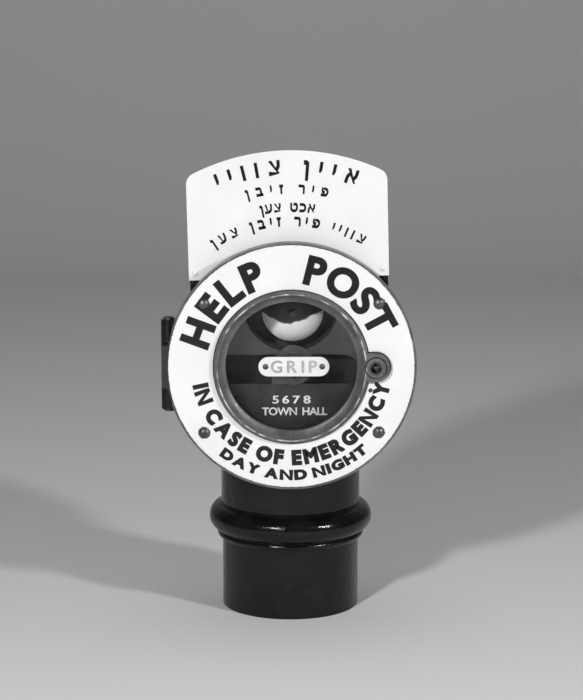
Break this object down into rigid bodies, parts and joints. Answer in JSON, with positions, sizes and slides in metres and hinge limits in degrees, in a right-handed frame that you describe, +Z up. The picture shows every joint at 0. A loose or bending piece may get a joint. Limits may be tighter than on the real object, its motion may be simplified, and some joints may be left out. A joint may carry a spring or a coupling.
{
  "type": "street fire alarm box",
  "caption": "Round street fire alarm box on a cast post, with a hinged glass door, a pull handle behind the glass and a sign plate above.",
  "frame": {"origin": "centre of the column's bottom face, on the column's axis", "axes": "+Z up along the column, -Y out of the door, +X to the right of someone facing the door"},
  "size_m": [0.278, 0.1947, 0.524],
  "materials": {
    "post_paint": "brushed gloss paint on cast iron",
    "door_paint": "satin paint, worn",
    "white_enamel": "glossy vitreous enamel",
    "steel_screws": "dull steel",
    "glass": "clear",
    "rubber": "matte",
    "black_japan": "black stoving enamel",
    "brass": "dull brass",
    "nickel": "nickel plate",
    "soft_iron": "blued iron",
    "coil_wire": "silk-covered wire",
    "ebonite": "ebonite",
    "silver_contact": "silver",
    "spring_steel": "tempered"
  },
  "bodies": {
    "post": {"column": "post_paint", "neck_casting": "post_paint", "set_screws": "steel_screws", "head_casting": "post_paint", "hinge_pin": "steel_screws", "door_seal": "rubber", "cable_gland": "rubber", "strike_plate": "black_japan", "strike_screws": "steel_screws", "face_plate": "black_japan", "face_plate_screws": "steel_screws", "number_plate": "black_japan", "number_plate_screws": "steel_screws", "stem_guide": "black_japan", "stem_bush": "brass", "guide_nut": "steel_screws", "mechanism_board": "ebonite", "board_pillars": "steel_screws", "board_screws": "steel_screws", "gong": "nickel", "gong_post": "brass", "gong_screw": "brass", "magnet_yoke": "soft_iron", "magnet_coils": "coil_wire", "hammer_pivot": "brass", "lever_bracket": "brass", "lever_pivot": "brass", "contact_block": "ebonite", "fixed_contact": "brass", "contact_screw": "brass", "terminal_block": "ebonite", "terminal_screws": "brass", "sign_plate": "white_enamel", "sign_bracket_left": "post_paint", "sign_bracket_right": "post_paint", "sign_screws": "steel_screws", "bracket_screws": "steel_screws", "return_spring": "spring_steel"},
    "door": {"door_casting": "door_paint", "enamel_ring": "white_enamel", "ring_screws": "steel_screws", "glass_pane": "glass", "glass_gasket": "rubber", "glass_retainer": "black_japan", "retainer_screws": "steel_screws", "lock_bush": "brass"},
    "lock": {"lock_spindle": "brass", "lock_cam": "brass", "cam_nut": "steel_screws"},
    "pull": {"pull_bar": "black_japan", "pull_stem": "brass", "pull_label": "white_enamel", "label_screws": "brass", "stem_collar": "brass", "collar_pin": "brass"},
    "lever": {"contact_lever": "brass", "moving_contact": "silver_contact"},
    "hammer": {"hammer_arm": "soft_iron", "hammer_ball": "nickel"}
  },
  "joints": [
    {"name": "door_hinge", "type": "hinge", "parent": "post", "child": "door", "pos_m": [-0.1335, -0.071, 0.29], "axis": [0, 0, -1], "range_deg": [0, 115]},
    {"name": "lock_turn", "type": "hinge", "parent": "door", "child": "lock", "pos_m": [0.0915, -0.08, 0.29], "axis": [0, 1, 0], "range_deg": [0, 90]},
    {"name": "pull_slide", "type": "slide", "parent": "post", "child": "pull", "axis": [0, -1, 0], "range_m": [0, 0.012], "stiffness_N_per_m": 400, "springref_m": -0.02, "deforming": ["return_spring"]},
    {"name": "contact_swing", "type": "hinge", "parent": "post", "child": "lever", "pos_m": [0.003, 0.0374, 0.245], "axis": [1, 0, 0], "range_deg": [0, 18.3]},
    {"name": "hammer_swing", "type": "hinge", "parent": "post", "child": "hammer", "pos_m": [-0.019, 0.01, 0.305], "axis": [0, -1, 0], "range_deg": [0, 6], "stiffness_Nm_per_rad": 0.6, "springref_deg": -11.46}
  ],
  "couplings": [
    {"joint": "contact_swing", "follows": "pull_slide", "rad_per_m": 26.316}
  ]
}
